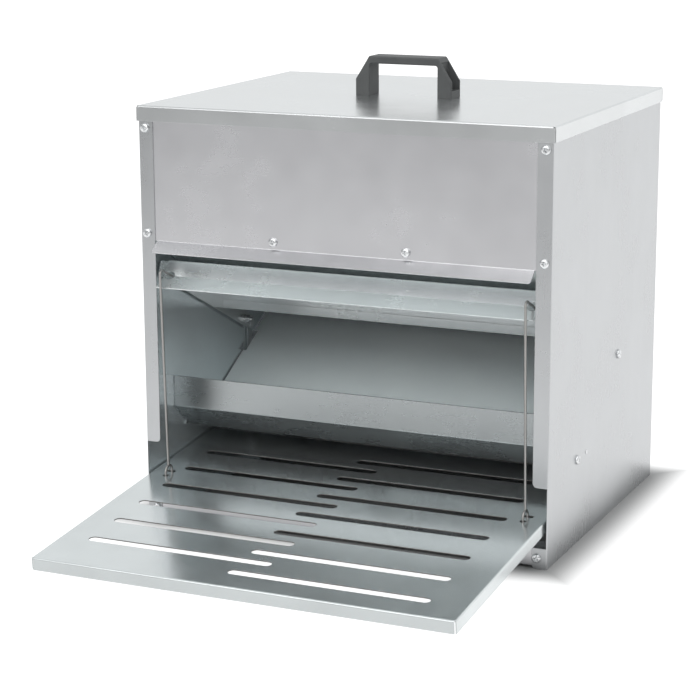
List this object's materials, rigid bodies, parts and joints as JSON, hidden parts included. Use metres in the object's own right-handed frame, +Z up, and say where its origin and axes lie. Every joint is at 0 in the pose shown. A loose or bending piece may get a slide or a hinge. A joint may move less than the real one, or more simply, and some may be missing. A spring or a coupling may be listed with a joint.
{
  "type": "gravity poultry feeder",
  "caption": "Galvanised sheet-metal gravity feeder: lift-off lid with bridge handle, sloping hopper, front trough under a lifting cover, and a slotted step treadle linked to it.",
  "frame": {"origin": "on the floor, under the middle of the box around the whole feeder with its treadle pressed", "axes": "+Z up, -Y towards the treadle and the bird, +Y towards the back panel, +X to the right seen from the front"},
  "size_m": [0.4256, 0.5628, 0.451],
  "materials": {
    "casing_sheet": "satin hot-dip galvanised sheet",
    "lid_sheet": "satin galvanised sheet, fine scuffs",
    "treadle_sheet": "satin galvanised sheet, pressed edges",
    "cover_sheet": "satin galvanised sheet",
    "feed_sheet": "satin galvanised sheet, feed side",
    "bar_steel": "galvanised flat bar",
    "zinc_hardware": "bright zinc plate",
    "spring_wire": "drawn galvanised wire",
    "handle_plastic": "fine-textured moulded plastic"
  },
  "bodies": {
    "casing": {"side_panel_left": "casing_sheet", "side_panel_right": "casing_sheet", "front_panel": "casing_sheet", "back_panel": "casing_sheet", "front_base_rail": "casing_sheet", "throat_baffle": "feed_sheet", "feed_slope": "feed_sheet", "feed_trough": "feed_sheet", "cover_pivot_bolts": "zinc_hardware", "cover_pivot_washers": "zinc_hardware", "cover_pivot_nuts": "zinc_hardware", "treadle_pivot_rod": "zinc_hardware", "pivot_rod_clips": "zinc_hardware", "pivot_bracket_left": "bar_steel", "pivot_bracket_right": "bar_steel", "front_flange_screws": "zinc_hardware", "front_flange_nuts": "zinc_hardware", "baffle_screws": "zinc_hardware", "baffle_nuts": "zinc_hardware", "base_tab_screws": "zinc_hardware", "base_tab_nuts": "zinc_hardware", "back_panel_screws": "zinc_hardware", "back_panel_nuts": "zinc_hardware", "slope_screws": "zinc_hardware", "slope_nuts": "zinc_hardware", "bracket_screws": "zinc_hardware", "bracket_nuts": "zinc_hardware", "trough_screws": "zinc_hardware", "trough_nuts": "zinc_hardware", "trough_ear_rivets": "zinc_hardware", "slope_toe_rivets": "zinc_hardware"},
    "lid": {"lid": "lid_sheet", "lid_handle": "handle_plastic", "handle_screws": "zinc_hardware", "handle_washers": "zinc_hardware"},
    "treadle": {"treadle_plate": "treadle_sheet", "treadle_arm_left": "bar_steel", "treadle_arm_right": "bar_steel", "treadle_arm_rivets": "zinc_hardware", "treadle_link_pins": "zinc_hardware"},
    "cover": {"cover_flap": "cover_sheet", "cover_link_pins": "zinc_hardware"},
    "pull_link_left": {"pull_link_left": "bar_steel"},
    "pull_link_right": {"pull_link_right": "bar_steel"},
    "hold_open_rod_left": {"hold_open_rod_left": "spring_wire"},
    "hold_open_rod_right": {"hold_open_rod_right": "spring_wire"}
  },
  "joints": [
    {"name": "treadle_press", "type": "hinge", "parent": "casing", "child": "treadle", "pos_m": [0, 0.26436, 0.0685], "axis": [-1, 0, 0], "range_deg": [0, 4.8]},
    {"name": "cover_lift", "type": "hinge", "parent": "casing", "child": "cover", "pos_m": [0, 0.15056, 0.16], "axis": [1, 0, 0], "range_deg": [0, 32.5]},
    {"name": "pull_link_left_pivot", "type": "hinge", "parent": "treadle", "child": "pull_link_left", "pos_m": [-0.2074, 0.16327, 0.05941], "axis": [-1, 0, 0], "range_deg": [-3.39, 0]},
    {"name": "pull_link_right_pivot", "type": "hinge", "parent": "treadle", "child": "pull_link_right", "pos_m": [0.2074, 0.16327, 0.05941], "axis": [-1, 0, 0], "range_deg": [-3.39, 0]},
    {"name": "hold_open_rod_left_fold", "type": "hinge", "parent": "treadle", "child": "hold_open_rod_left", "pos_m": [-0.1875, -0.05608, 0.04791], "axis": [1, 0, 0], "range_deg": [0, 92.15]},
    {"name": "hold_open_rod_right_fold", "type": "hinge", "parent": "treadle", "child": "hold_open_rod_right", "pos_m": [0.1875, -0.05608, 0.04791], "axis": [1, 0, 0], "range_deg": [0, 92.15]},
    {"name": "lid_lift_off", "type": "slide", "parent": "casing", "child": "lid", "axis": [0, 0, 1], "range_m": [0, 0.06]}
  ],
  "couplings": [
    {"joint": "cover_lift", "follows": "treadle_press", "ratio": 6.7708},
    {"joint": "pull_link_left_pivot", "follows": "treadle_press", "ratio": -0.70552},
    {"joint": "pull_link_right_pivot", "follows": "treadle_press", "ratio": -0.70552},
    {"joint": "hold_open_rod_left_fold", "follows": "treadle_press", "ratio": 19.198},
    {"joint": "hold_open_rod_right_fold", "follows": "treadle_press", "ratio": 19.198}
  ]
}
